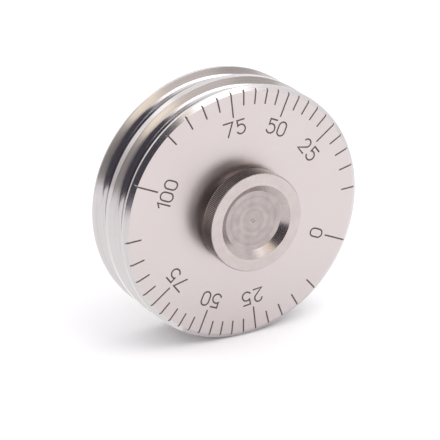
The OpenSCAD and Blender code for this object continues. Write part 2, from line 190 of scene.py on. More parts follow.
def add_turned(bm, outline, segments=SEGMENTS, centre=(0.0, 0.0), closed=True):
    """Turns an outline of (radius, z) points about an axis through centre, as on a lathe."""
    rings = []
    for radius, z in outline:
        if radius < 1e-6:
            rings.append([bm.verts.new(place(centre[0], centre[1], z))])
            continue
        ring = []
        for i in range(segments):
            a = 2 * math.pi * i / segments
            x = centre[0] + radius * math.cos(a)
            y = centre[1] + radius * math.sin(a)
            ring.append(bm.verts.new(place(x, y, z)))
        rings.append(ring)
    pairs = list(zip(rings, rings[1:]))
    if closed:
        pairs.append((rings[-1], rings[0]))
    for low, high in pairs:
        if len(low) == 1 and len(high) == 1:
            continue
        for i in range(segments):
            j = (i + 1) % segments
            if len(low) == 1:
                bm.faces.new((low[0], high[j], high[i]))
            elif len(high) == 1:
                bm.faces.new((low[i], low[j], high[0]))
            else:
                bm.faces.new((low[i], low[j], high[j], high[i]))


def turned(name, outline, segments=SEGMENTS, centre=(0.0, 0.0), edge=0.12, sharp=40.0):
    """A lathe part: a closed outline of (radius, z) points with its edges lightly broken."""
    bm = bmesh.new()
    add_turned(bm, rounded(outline, edge), segments, centre)
    return finish_mesh(bm, name, sharp)


def bake(piece):
    """Applies every modifier of a piece, so that it is a plain mesh."""
    graph = bpy.context.evaluated_depsgraph_get()
    mesh = bpy.data.meshes.new_from_object(piece.evaluated_get(graph), depsgraph=graph)
    piece.modifiers.clear()
    piece.data = mesh
    return piece


def cut_away(piece, cutter, sharp=40.0):
    """Cuts one object out of another. New faces keep the cutter's material."""
    step = piece.modifiers.new("cut", "BOOLEAN")
    step.operation = "DIFFERENCE"
    step.solver = "MANIFOLD"
    step.material_mode = "TRANSFER"
    step.object = cutter
    bake(piece)
    bpy.data.objects.remove(cutter)
    piece.data.shade_smooth()
    piece.data.set_sharp_from_angle(angle=math.radians(sharp))
    return piece


def weigh_normals(piece):
    """Lets the large flat faces set the shading, so that broken edges catch the light and flats stay flat."""
    step = piece.modifiers.new("normals", "WEIGHTED_NORMAL")
    step.keep_sharp = True
    step.weight = 100
    return bake(piece)


# ---------------------------------------------------------------- node helpers

def add_node(tree, kind, inputs=None, **settings):
    """Adds a node, sets its properties, and fills its inputs with values or links from other sockets."""
    node = tree.nodes.new(kind)
    for key, value in settings.items():
        setattr(node, key, value)
    for key, value in (inputs or {}).items():
        if isinstance(value, bpy.types.NodeSocket):
            tree.links.new(value, node.inputs[key])
        else:
            node.inputs[key].default_value = value
    return node


def colour(text):
    """An sRGB hex colour as linear RGBA."""
    channels = [int(text[i:i + 2], 16) / 255 for i in (1, 3, 5)]
    linear = [c / 12.92 if c <= 0.04045 else ((c + 0.055) / 1.055) ** 2.4 for c in channels]
    return (*linear, 1.0)


def new_material(name):
    """An empty node material and its tree."""
    material = bpy.data.materials.new(name)
    material.use_nodes = True
    material.node_tree.nodes.clear()
    return material, material.node_tree


def finish_material(material, tree, bsdf):
    """Sends a shader to the material's surface."""
    add_node(tree, "ShaderNodeOutputMaterial", {"Surface": bsdf.outputs[0]})
    return material


def per_mm(size):
    """Noise scale that gives features of about this size in millimetres."""
    return 1 / (size * MM)


def lathe_coordinates(tree):
    """Object coordinates, the distance from the spindle axis, and coordinates that draw noise into rings."""
    where = add_node(tree, "ShaderNodeTexCoord").outputs["Object"]
    split = add_node(tree, "ShaderNodeSeparateXYZ", {0: where}).outputs
    square = add_node(tree, "ShaderNodeMath", {0: split["X"], 1: split["X"]}, operation="MULTIPLY").outputs[0]
    total = add_node(tree, "ShaderNodeMath", {0: split["Z"], 1: split["Z"], 2: square},
                     operation="MULTIPLY_ADD").outputs[0]
    radius = add_node(tree, "ShaderNodeMath", {0: total}, operation="SQRT").outputs[0]
    rings = add_node(tree, "ShaderNodeCombineXYZ", {0: radius, 1: split["Y"], 2: 0.0}).outputs[0]
    return where, radius, rings


def satin_stainless():
    """Stainless steel lapped to an even satin: a soft, nearly white reflection with a faint fine grain.

    The real grain is finer. It is drawn coarse enough to show.
    """
    material, tree = new_material("satin_stainless")
    where = add_node(tree, "ShaderNodeTexCoord").outputs["Object"]
    grain_mm, patch_mm, depth_mm = 0.35, 14.0, 0.02
    grain = add_node(tree, "ShaderNodeTexNoise", {"Vector": where, "Scale": per_mm(grain_mm), "Detail": 4.0,
                                                  "Roughness": 0.65}).outputs[0]
    patches = add_node(tree, "ShaderNodeTexNoise",
                       {"Vector": where, "Scale": per_mm(patch_mm), "Detail": 3.0}).outputs[0]
    tone = add_node(tree, "ShaderNodeMapRange", {0: patches, 1: 0.3, 2: 0.7, 3: 0.3, 4: 0.36}).outputs[0]
    tint = add_node(tree, "ShaderNodeMix", {0: grain, 6: colour("#C6BDBC"), 7: colour("#D0C8C7")},
                    data_type="RGBA").outputs[2]
    bump = add_node(tree, "ShaderNodeBump", {"Strength": 0.12, "Distance": depth_mm * MM, "Height": grain})
    bsdf = add_node(tree, "ShaderNodeBsdfPrincipled",
                    {"Base Color": tint, "Metallic": 1.0, "Roughness": tone, "Normal": bump.outputs[0]})
    return finish_material(material, tree, bsdf)


def polished_stainless():
    """Stainless steel turned and polished: clear reflections, with the tool's faint rings round the axis."""
    material, tree = new_material("polished_stainless")
    where, _, rings = lathe_coordinates(tree)
    ring_mm, smudge_mm, depth_mm = 0.3, 9.0, 0.012
    marks = add_node(tree, "ShaderNodeTexNoise",
                     {"Vector": rings, "Scale": per_mm(ring_mm), "Detail": 2.0}).outputs[0]
    smudge = add_node(tree, "ShaderNodeTexNoise",
                      {"Vector": where, "Scale": per_mm(smudge_mm), "Detail": 3.0}).outputs[0]
    tone = add_node(tree, "ShaderNodeMapRange", {0: smudge, 1: 0.3, 2: 0.7, 3: 0.15, 4: 0.22}).outputs[0]
    tint = add_node(tree, "ShaderNodeMix", {0: marks, 6: colour("#BDB8B9"), 7: colour("#D2CDCE")},
                    data_type="RGBA").outputs[2]
    bump = add_node(tree, "ShaderNodeBump", {"Strength": 0.35, "Distance": depth_mm * MM, "Height": marks})
    bsdf = add_node(tree, "ShaderNodeBsdfPrincipled",
                    {"Base Color": tint, "Metallic": 1.0, "Roughness": tone, "Normal": bump.outputs[0]})
    return finish_material(material, tree, bsdf)


def turned_stainless(name, dark, light, smooth, rough, depth_mm):
    """Stainless steel straight from the lathe: concentric tool marks that spread the light round the axis.

    The real feed marks are finer. They are drawn coarse enough to show.
    """
    material, tree = new_material(name)
    where, _, rings = lathe_coordinates(tree)
    feed_mm, chatter_mm, patch_mm = 0.3, 1.5, 3.0
    marks = add_node(tree, "ShaderNodeTexNoise",
                     {"Vector": rings, "Scale": per_mm(feed_mm), "Detail": 3.0, "Roughness": 0.7}).outputs[0]
    broad = add_node(tree, "ShaderNodeTexNoise",
                     {"Vector": rings, "Scale": per_mm(chatter_mm), "Detail": 1.0}).outputs[0]
    patches = add_node(tree, "ShaderNodeTexNoise",
                       {"Vector": where, "Scale": per_mm(patch_mm), "Detail": 2.0}).outputs[0]
    height = add_node(tree, "ShaderNodeMath", {0: broad, 1: 2.0, 2: marks},
                      operation="MULTIPLY_ADD").outputs[0]
    wear = add_node(tree, "ShaderNodeMath", {0: patches, 1: 0.5, 2: marks},
                    operation="MULTIPLY_ADD").outputs[0]
    share = add_node(tree, "ShaderNodeMapRange", {0: wear, 1: 0.5, 2: 1.0, 3: 0.0, 4: 1.0}).outputs[0]
    tint = add_node(tree, "ShaderNodeMix", {0: share, 6: colour(dark), 7: colour(light)},
                    data_type="RGBA").outputs[2]
    tone = add_node(tree, "ShaderNodeMapRange", {0: marks, 1: 0.3, 2: 0.7, 3: smooth, 4: rough}).outputs[0]
    bump = add_node(tree, "ShaderNodeBump", {"Strength": 0.3, "Distance": depth_mm * MM, "Height": height})
    bsdf = add_node(tree, "ShaderNodeBsdfPrincipled",
                    {"Base Color": tint, "Metallic": 1.0, "Roughness": tone, "Normal": bump.outputs[0]})
    return finish_material(material, tree, bsdf)


def knurled_stainless():
    """Knurled stainless steel: bright crests, and valleys darkened with painted shade and a little dark
    grease.
    """
    material, tree = new_material("knurled_stainless")
    where, radius, _ = lathe_coordinates(tree)
    grain_mm, depth_mm = 0.2, 0.02
    grain = add_node(tree, "ShaderNodeTexNoise",
                     {"Vector": where, "Scale": per_mm(grain_mm), "Detail": 3.0}).outputs[0]
    # painted shade with some grease: the tone darkens from the crests into the valleys, by distance from the
    # axis
    knurl_shade_and_grease = add_node(tree, "ShaderNodeMapRange",
                     {0: radius, 1: (KNOB_R - KNURL_DEPTH) * MM, 2: KNOB_R * MM, 3: 0.0, 4: 1.0}).outputs[0]
    tint = add_node(tree, "ShaderNodeMix", {0: knurl_shade_and_grease, 6: colour("#141110"), 7: colour("#E0D8D6")},
                    data_type="RGBA").outputs[2]
    bump = add_node(tree, "ShaderNodeBump", {"Strength": 0.2, "Distance": depth_mm * MM, "Height": grain})
    bsdf = add_node(tree, "ShaderNodeBsdfPrincipled",
                    {"Base Color": tint, "Metallic": 1.0, "Roughness": 0.3, "Normal": bump.outputs[0]})
    return finish_material(material, tree, bsdf)


def engraving_enamel():
    """Matt dark enamel rubbed into the engraving, worn a little thin so that it reads as brown grey."""
    material, tree = new_material("engraving_enamel")
    where = add_node(tree, "ShaderNodeTexCoord").outputs["Object"]
    wear_mm = 0.5
    wear = add_node(tree, "ShaderNodeTexNoise",
                    {"Vector": where, "Scale": per_mm(wear_mm), "Detail": 3.0}).outputs[0]
    tint = add_node(tree, "ShaderNodeMix", {0: wear, 6: colour("#463C39"), 7: colour("#665A56")},
                    data_type="RGBA").outputs[2]
    bsdf = add_node(tree, "ShaderNodeBsdfPrincipled", {"Base Color": tint, "Roughness": 0.7})
    return finish_material(material, tree, bsdf)


def machined_metal(name, hex_colour, roughness, grain_mm):
    """A machined metal with a fine even grain, for parts whose finish is hidden or seen only from behind."""
    material, tree = new_material(name)
    where = add_node(tree, "ShaderNodeTexCoord").outputs["Object"]
    depth_mm, spread = 0.01, 0.15
    grain = add_node(tree, "ShaderNodeTexNoise",
                     {"Vector": where, "Scale": per_mm(grain_mm), "Detail": 3.0}).outputs[0]
    tone = add_node(tree, "ShaderNodeMapRange",
                    {0: grain, 1: 0.3, 2: 0.7, 3: roughness * (1 - spread), 4: roughness * (1 + spread)})
    bump = add_node(tree, "ShaderNodeBump", {"Strength": 0.15, "Distance": depth_mm * MM, "Height": grain})
    bsdf = add_node(tree, "ShaderNodeBsdfPrincipled",
                    {"Base Color": colour(hex_colour), "Metallic": 1.0, "Roughness": tone.outputs[0],
                     "Normal": bump.outputs[0]})
    return finish_material(material, tree, bsdf)


def nitrile_rubber():
    """Moulded nitrile rubber: nearly black, matt, with a faint orange-peel surface."""
    material, tree = new_material("nitrile_rubber")
    where = add_node(tree, "ShaderNodeTexCoord").outputs["Object"]
    grain_mm, depth_mm = 0.15, 0.01
    grain = add_node(tree, "ShaderNodeTexNoise",
                     {"Vector": where, "Scale": per_mm(grain_mm), "Detail": 2.0}).outputs[0]
    bump = add_node(tree, "ShaderNodeBump", {"Strength": 0.2, "Distance": depth_mm * MM, "Height": grain})
    bsdf = add_node(tree, "ShaderNodeBsdfPrincipled",
                    {"Base Color": colour("#1B1B1D"), "Roughness": 0.6, "Normal": bump.outputs[0]})
    return finish_material(material, tree, bsdf)


SATIN = satin_stainless()
POLISHED = polished_stainless()
# darkest and lightest tone, lowest and highest roughness, and the depth of the tool marks in millimetres
TURNED = turned_stainless("turned_stainless", "#B8AEAC", "#CAC1BF", 0.26, 0.34, 0.015)
FACED = turned_stainless("rough_faced_stainless", "#968D8B", "#BDB4B2", 0.28, 0.42, 0.03)
BORED = turned_stainless("bored_stainless", "#ACA2A0", "#BCB2B0", 0.2, 0.24, 0.003)
KNURLED = knurled_stainless()
ENAMEL = engraving_enamel()

# colour, roughness and grain in millimetres
GROUND = machined_metal("ground_steel", "#B4B5B8", 0.22, 0.2)
BEARING = machined_metal("polished_bearing_steel", "#C4C7CC", 0.12, 0.3)
SPRING = machined_metal("blued_spring_steel", "#5B6478", 0.3, 0.3)
BLACK_OXIDE = machined_metal("black_oxide_steel", "#35353A", 0.4, 0.3)
BRONZE = machined_metal("turned_bronze", "#B8894A", 0.3, 0.25)
RUBBER = nitrile_rubber()


# ---------------------------------------------------------------- engraving

def stroke_section(bm, spot, side, share=1.0):
    """Four corners of an engraving groove: wide above the face, narrow at its floor."""
    corners = ((STROKE_TOP, STROKE_RISE), (STROKE_FLOOR, -LINE_DEPTH), (-STROKE_FLOOR, -LINE_DEPTH),
               (-STROKE_TOP, STROKE_RISE))
    made = []
    for across, lift in corners:
        offset = side * across * share
        made.append(bm.verts.new(place(spot.x + offset.x, spot.y + offset.y, spot.z + lift)))
    return made


def stroke_cutter(bm, path, ring=False):
    """A tapered engraving groove along a path of face points (x, y, height), as a closed solid."""
    spots = [Vector(point) for point in path]
    count = len(spots)
    runs = []
    for i in range(count if ring else count - 1):
        run = spots[(i + 1) % count] - spots[i]
        runs.append(Vector((run.x, run.y)).normalized())
    sections = []
    for i, spot in enumerate(spots):
        before = runs[i - 1] if ring or i > 0 else runs[0]
        after = runs[i % len(runs)] if ring or i < count - 1 else runs[-1]
        along = (before + after).normalized()
        side = Vector((-along.y, along.x))
        # a mitre keeps the groove's width through a corner, up to a limit at a sharp one
        mitre = 1 / max(side.dot(Vector((-before.y, before.x))), 0.55)
        sections.append((spot, along, side * mitre))
    rings = []
    if not ring:
        spot, along, side = sections[0]
        for back, share in ROUND_END:
            rings.append(stroke_section(bm, spot - along.to_3d() * LINE_W / 2 * back, side, share))
    for spot, along, side in sections:
        rings.append(stroke_section(bm, spot, side))
    if not ring:
        spot, along, side = sections[-1]
        for ahead, share in reversed(ROUND_END):
            rings.append(stroke_section(bm, spot + along.to_3d() * LINE_W / 2 * ahead, side, share))
    pairs = list(zip(rings, rings[1:]))
    if ring:
        pairs.append((rings[-1], rings[0]))
    for low, high in pairs:
        for k in range(4):
            bm.faces.new((low[k], low[(k + 1) % 4], high[(k + 1) % 4], high[k]))
    if not ring:
        bm.faces.new(rings[0])
        bm.faces.new(rings[-1])


def glyph(digit):
    """The single line that an engraving machine follows for a digit: (points, closed), centred on (0, 0)."""
    w, h = DIGIT_W[digit] / 2, DIGIT_H / 2
    # where strokes begin, turn or end: flag is a share of the half height, the others of the half width
    flag, bowl, neck, foot = 0.6, 0.9, 0.7, 0.2
    if digit == 0:
        return arc((0, h - w), w, 0, 180, 14) + arc((0, w - h), w, 180, 360, 14), True
    if digit == 1:
        return [(-w, h * flag), (w, h), (w, -h)], False
    if digit == 2:
        r = w * bowl
        return arc((0, h - r), r, 170, -40, 14) + [(-w, -h), (w, -h)], False
    if digit == 5:
        return [(w * bowl, h), (-w * neck, h)] + arc((0, w - h), w, 130, -150, 18), False
    return [(-w, h), (w, h), (-w * foot, -h)], False


def scale_angle(step):
    """Angle of a mark from the zero: equal steps of a crank-driven slide."""
    return math.acos(1 - 2 * step / MARKS_PER_SIDE)


def number_cutters():
    """Cutters for the numbers 0 to 100 by the long marks, tops away from the spindle."""
    bm = bmesh.new()
    for side in (1, -1):
        for step in range(0, MARKS_PER_SIDE + 1, NUMBER_EVERY):
            if side < 0 and step in (0, MARKS_PER_SIDE):
                continue
            text = str(100 * step // MARKS_PER_SIDE)
            angle = ZERO_ANGLE + side * scale_angle(step)
            up = Vector((math.cos(angle), math.sin(angle)))
            right = Vector((math.sin(angle), -math.cos(angle)))
            digits = [int(character) for character in text]
            left = -(sum(DIGIT_W[d] for d in digits) + DIGIT_GAP * (len(digits) - 1)) / 2
            for digit in digits:
                shift = left + DIGIT_W[digit] / 2
                left += DIGIT_W[digit] + DIGIT_GAP
                points, closed = glyph(digit)
                path = []
                for x, y in points:
                    p = up * (NUMBER_R + y) + right * (shift + x)
                    path.append((p.x, p.y, STACK))
                stroke_cutter(bm, path, closed)
    return finish_mesh(bm, "number_cutters")


def mark_cutter(name, length):
    """Cutter for one mark, drawn on the +x side: along the face and a little way down the bevel."""
    bm = bmesh.new()
    drop = MARK_RUNOUT * EDGE_BEVEL_H / EDGE_BEVEL
    stroke_cutter(bm, [(FACE_R - length, 0.0, STACK), (FACE_R, 0.0, STACK),
                       (FACE_R + MARK_RUNOUT, 0.0, STACK - drop)])
    return finish_mesh(bm, name)


def scale_mark_tree():
    """Geometry Nodes: puts a short or a long mark at every step of the scale, on both halves of the dial."""
    tree = bpy.data.node_groups.new("scale_marks", "GeometryNodeTree")
    tree.interface.new_socket("Geometry", in_out="OUTPUT", socket_type="NodeSocketGeometry")
    for label, kind in (("Marks per side", "NodeSocketInt"), ("Long mark every", "NodeSocketInt"),
                        ("Zero angle", "NodeSocketFloat"), ("Short mark", "NodeSocketObject"),
                        ("Long mark", "NodeSocketObject"), ("Material", "NodeSocketMaterial")):
        tree.interface.new_socket(label, in_out="INPUT", socket_type=kind)
    given = add_node(tree, "NodeGroupInput").outputs
    per_side = given["Marks per side"]
    twice = add_node(tree, "ShaderNodeMath", {0: per_side, 1: 2.0}, operation="MULTIPLY").outputs[0]
    points = add_node(tree, "GeometryNodeMeshLine", {"Count": twice, "Offset": (0, 0, 0)}, mode="OFFSET")
    index = add_node(tree, "GeometryNodeInputIndex").outputs[0]
    away = add_node(tree, "ShaderNodeMath", {0: index, 1: per_side}, operation="SUBTRACT").outputs[0]
    distance = add_node(tree, "ShaderNodeMath", {0: away}, operation="ABSOLUTE").outputs[0]
    step = add_node(tree, "ShaderNodeMath", {0: per_side, 1: distance}, operation="SUBTRACT").outputs[0]
    share = add_node(tree, "ShaderNodeMath", {0: step, 1: per_side}, operation="DIVIDE").outputs[0]
    cosine = add_node(tree, "ShaderNodeMath", {0: share, 1: -2.0, 2: 1.0},
                      operation="MULTIPLY_ADD").outputs[0]
    angle = add_node(tree, "ShaderNodeMath", {0: cosine}, operation="ARCCOSINE").outputs[0]
    # the second half of the points runs down the other side of the dial
    half = add_node(tree, "ShaderNodeMath", {0: 0.5, 1: away}, operation="SUBTRACT").outputs[0]
    side = add_node(tree, "ShaderNodeMath", {0: half}, operation="SIGN").outputs[0]
    turn = add_node(tree, "ShaderNodeMath", {0: angle, 1: side, 2: given["Zero angle"]},
                    operation="MULTIPLY_ADD").outputs[0]
    # the face looks along -Y, so a counter-clockwise turn is negative about +Y
    flip = add_node(tree, "ShaderNodeMath", {0: turn, 1: -1.0}, operation="MULTIPLY").outputs[0]
    rotation = add_node(tree, "ShaderNodeCombineXYZ", {1: flip}).outputs[0]
    rest = add_node(tree, "ShaderNodeMath", {0: step, 1: given["Long mark every"]},
                    operation="MODULO").outputs[0]
    is_long = add_node(tree, "ShaderNodeMath", {0: rest, 1: 0.5}, operation="LESS_THAN").outputs[0]
    is_short = add_node(tree, "ShaderNodeMath", {0: rest, 1: 0.5}, operation="GREATER_THAN").outputs[0]
    both = add_node(tree, "GeometryNodeJoinGeometry")
    for choice, label in ((is_short, "Short mark"), (is_long, "Long mark")):
        shape = add_node(tree, "GeometryNodeObjectInfo", {"Object": given[label]}, transform_space="ORIGINAL")
        placed = add_node(tree, "GeometryNodeInstanceOnPoints",
                          {"Points": points.outputs[0], "Selection": choice,
                           "Instance": shape.outputs["Geometry"], "Rotation": rotation})
        tree.links.new(placed.outputs[0], both.inputs[0])
    real = add_node(tree, "GeometryNodeRealizeInstances", {0: both.outputs[0]})
    painted = add_node(tree, "GeometryNodeSetMaterial", {0: real.outputs[0], "Material": given["Material"]})
    add_node(tree, "NodeGroupOutput", {0: painted.outputs[0]})
    return tree


def run_tree(piece, tree, values):
    """Adds a Geometry Nodes modifier, sets its named inputs, and bakes the result into a plain mesh."""
    step = piece.modifiers.new(tree.name, "NODES")
    step.node_group = tree
    for item in tree.interface.items_tree:
        if item.in_out == "INPUT" and item.name in values:
            step[item.identifier] = values[item.name]
    return bake(piece)


def scale_cutters():
    """Cutters for every mark of the scale, as one plain mesh."""
    short = mark_cutter("short_mark", SHORT_MARK)
    long = mark_cutter("long_mark", LONG_MARK)
    marks = make_object("mark_cutters", bpy.data.meshes.new("mark_cutters"))
    run_tree(marks, scale_mark_tree(),
             {"Marks per side": MARKS_PER_SIDE, "Long mark every": NUMBER_EVERY, "Zero angle": ZERO_ANGLE,
              "Short mark": short, "Long mark": long, "Material": ENAMEL})
    for tool in (short, long):
        bpy.data.objects.remove(tool)
    return marks


# ---------------------------------------------------------------- pieces

def groove_half(groove_z, width, side, rim_r=WHEEL_R, steps=14):
    """Outline of half a rim groove: from its floor, round the corner and up the leaning wall to the rim."""
    reach = (GROOVE_DEPTH - GROOVE_CORNER_R) * math.tan(GROOVE_LEAN) + GROOVE_CORNER_R / math.cos(GROOVE_LEAN)
    corner_z = width / 2 - reach
    path_r = WHEEL_R - GROOVE_DEPTH + GROOVE_CORNER_R
    points = []
    for i in range(steps + 1):
        a = (math.pi / 2 - GROOVE_LEAN) * i / steps
        across = corner_z + GROOVE_CORNER_R * math.sin(a)
        points.append((path_r - GROOVE_CORNER_R * math.cos(a), groove_z + side * across))
    points.append((rim_r, groove_z + side * (width / 2 - (WHEEL_R - rim_r) * math.tan(GROOVE_LEAN))))
    return points


def paint(piece, *materials):
    """Gives a piece these materials in place of any it has."""
    piece.data.materials.clear()
    for material in materials:
        piece.data.materials.append(material)
    return piece


def make_dial():
    """The graduated plate: satin face, polished bevel and rim, engraved marks and numbers."""
    boss_gap = 0.5
    outline = [(DIAL_BORE_R, PLATE_FLOOR), (BOSS_R + boss_gap, PLATE_FLOOR), (BOSS_R + boss_gap, PLATE_REAR)]
    outline += [(WHEEL_R - GROOVE_DEPTH, PLATE_REAR)] + groove_half(FRONT_GROOVE_Z, FRONT_GROOVE_W, 1, DIAL_R)
    outline += [(DIAL_R, STACK - EDGE_BEVEL_H), (FACE_R, STACK), (DIAL_BORE_R, STACK)]
    dial = turned("dial_plate_visual", outline, edge=0.08)
    paint(dial, POLISHED)
    cutter = number_cutters()
    paint(cutter, ENAMEL)
    cut_away(dial, cutter)
    cut_away(dial, scale_cutters())
    dial.data.materials.append(SATIN)
    satin = dial.data.materials.find("satin_stainless")
    for face in dial.data.polygons:
        if face.normal.y < -0.999 and face.center.y < -(STACK - 0.05) * MM:
            face.material_index = satin
    weigh_normals(dial)
    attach(dial, "dial")
    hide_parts("dial_plate")
    return dial


def round_holes(name, spots, radius, low, high, segments=48, chamfer=0.25):
    """Cutters for drilled holes with a broken edge at the rear face and a cone at the bottom."""
    bm = bmesh.new()
    past, cone = 1.0, radius * 0.5
    outline = [(0, low - past), (radius + chamfer + past, low - past), (radius, low + chamfer),
               (radius, high - cone), (0, high)]
    for x, y in spots:
        add_turned(bm, outline, segments, (x, y))
    return finish_mesh(bm, name)


def around(count, radius, start=0.0):
    """Points evenly spaced round the axis, in millimetres."""
    angles = [math.radians(start) + 2 * math.pi * i / count for i in range(count)]
    return [(radius * math.cos(a), radius * math.sin(a)) for a in angles]


def index_cutter():
    """Cutter for the index line across the middle land, in line with the dial's 0 mark at rest."""
    bm = bmesh.new()
    reach = 0.2
    high = FRONT_GROOVE_Z - FRONT_GROOVE_W / 2 + reach
    low = high - MIDDLE_LAND - 2 * reach
    section = [(WHEEL_R + STROKE_RISE, STROKE_TOP), (WHEEL_R - LINE_DEPTH, STROKE_FLOOR),
               (WHEEL_R - LINE_DEPTH, -STROKE_FLOOR), (WHEEL_R + STROKE_RISE, -STROKE_TOP)]
    out = Vector((math.cos(ZERO_ANGLE), math.sin(ZERO_ANGLE)))
    side = Vector((-out.y, out.x))
    ends = []
    for z in (low, high):
        corners = [out * r + side * across for r, across in section]
        ends.append([bm.verts.new(place(corner.x, corner.y, z)) for corner in corners])
    for k in range(4):
        bm.faces.new((ends[0][k], ends[0][(k + 1) % 4], ends[1][(k + 1) % 4], ends[1][k]))
    for end in ends:
        bm.faces.new(end)
    return finish_mesh(bm, "index_cutter")


def make_body():
    """The grooved body: two polished lands, two grooves with leaning walls, bored for the bearings."""
    race_seat_r = RACE_R + SLIP
    cover_seat_r = COVER_R + SLIP
    dust_out = DUST_R + DUST_HALF_W
    dust_in = DUST_R - DUST_HALF_W
    outline = [(SHAFT_GAP_R, BOSS_Z), (SHAFT_GAP_R, RACE_FRONT), (race_seat_r, RACE_FRONT),
               (race_seat_r, COVER_T), (cover_seat_r, COVER_T), (cover_seat_r, 0.0),
               (WHEEL_R - REAR_BEVEL, 0.0), (WHEEL_R, REAR_BEVEL)]
    outline += groove_half(REAR_GROOVE_Z, REAR_GROOVE_W, -1)[::-1]
    outline += groove_half(REAR_GROOVE_Z, REAR_GROOVE_W, 1)
    outline += groove_half(FRONT_GROOVE_Z, FRONT_GROOVE_W, -1)[::-1]
    outline += [(WHEEL_R - GROOVE_DEPTH, BODY_FRONT), (dust_out, BODY_FRONT),
                (dust_out, BODY_FRONT - DUST_DEPTH), (dust_in, BODY_FRONT - DUST_DEPTH),
                (dust_in, BODY_FRONT), (BOSS_R, BODY_FRONT), (BOSS_R, BOSS_Z)]
    body = turned("grooved_body_visual", outline, edge=0.1)
    paint(body, POLISHED)
    cutter = round_holes("mount_holes", around(4, MOUNT_R, 45), MOUNT_HOLE_R, 0.0, HOLE_DEPTH)
    paint(cutter, TURNED)
    cut_away(body, cutter)
    cutter = round_holes("dowel_holes", around(2, MOUNT_R), DOWEL_HOLE_R, 0.0, HOLE_DEPTH, chamfer=0.15)
    paint(cutter, TURNED)
    cut_away(body, cutter)
    cutter = index_cutter()
    paint(cutter, ENAMEL)
    cut_away(body, cutter)
    weigh_normals(body)
    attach(body, "housing")
    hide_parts("grooved_body")
    return body


def knurl_tree():
    """Geometry Nodes: presses a straight knurl into the outer band of a turned part."""
    tree = bpy.data.node_groups.new("straight_knurl", "GeometryNodeTree")
    tree.interface.new_socket("Geometry", in_out="OUTPUT", socket_type="NodeSocketGeometry")
    for label, kind in (("Geometry", "NodeSocketGeometry"), ("Teeth", "NodeSocketInt"),
                        ("Depth", "NodeSocketFloat"), ("Outer radius", "NodeSocketFloat"),
                        ("Material", "NodeSocketMaterial")):
        tree.interface.new_socket(label, in_out="INPUT", socket_type=kind)
    given = add_node(tree, "NodeGroupInput").outputs
    where = add_node(tree, "GeometryNodeInputPosition").outputs[0]
    split = add_node(tree, "ShaderNodeSeparateXYZ", {0: where}).outputs
    angle = add_node(tree, "ShaderNodeMath", {0: split["Z"], 1: split["X"]}, operation="ARCTAN2").outputs[0]
    turns = add_node(tree, "ShaderNodeMath", {0: angle, 1: 2 * math.pi}, operation="DIVIDE").outputs[0]
    phase = add_node(tree, "ShaderNodeMath", {0: turns, 1: given["Teeth"]}, operation="MULTIPLY").outputs[0]
    # triangle wave from 0 on a tooth's crest to 1 in the valley
    wave = add_node(tree, "ShaderNodeMath", {0: phase, 1: 0.5}, operation="PINGPONG").outputs[0]
    drop = add_node(tree, "ShaderNodeMath", {0: wave, 1: given["Depth"]}, operation="MULTIPLY").outputs[0]
    limit = add_node(tree, "ShaderNodeMath", {0: drop, 1: -2.0, 2: given["Outer radius"]},
                     operation="MULTIPLY_ADD").outputs[0]
    flat = add_node(tree, "ShaderNodeCombineXYZ", {0: split["X"], 2: split["Z"]}).outputs[0]
    radius = add_node(tree, "ShaderNodeVectorMath", {0: flat}, operation="LENGTH").outputs["Value"]
    held = add_node(tree, "ShaderNodeMath", {0: radius, 1: limit}, operation="MINIMUM").outputs[0]
    safe = add_node(tree, "ShaderNodeMath", {0: radius, 1: 1e-6}, operation="MAXIMUM").outputs[0]
    factor = add_node(tree, "ShaderNodeMath", {0: held, 1: safe}, operation="DIVIDE").outputs[0]
    scale = add_node(tree, "ShaderNodeCombineXYZ", {0: factor, 1: 1.0, 2: factor}).outputs[0]
    moved = add_node(tree, "ShaderNodeVectorMath", {0: where, 1: scale}, operation="MULTIPLY").outputs[0]
    shaped = add_node(tree, "GeometryNodeSetPosition", {"Geometry": given["Geometry"], "Position": moved})
    real = add_node(tree, "GeometryNodeRealizeInstances", {0: shaped.outputs[0]})
    painted = add_node(tree, "GeometryNodeSetMaterial", {0: real.outputs[0], "Material": given["Material"]})
    add_node(tree, "NodeGroupOutput", {0: painted.outputs[0]})
    return tree


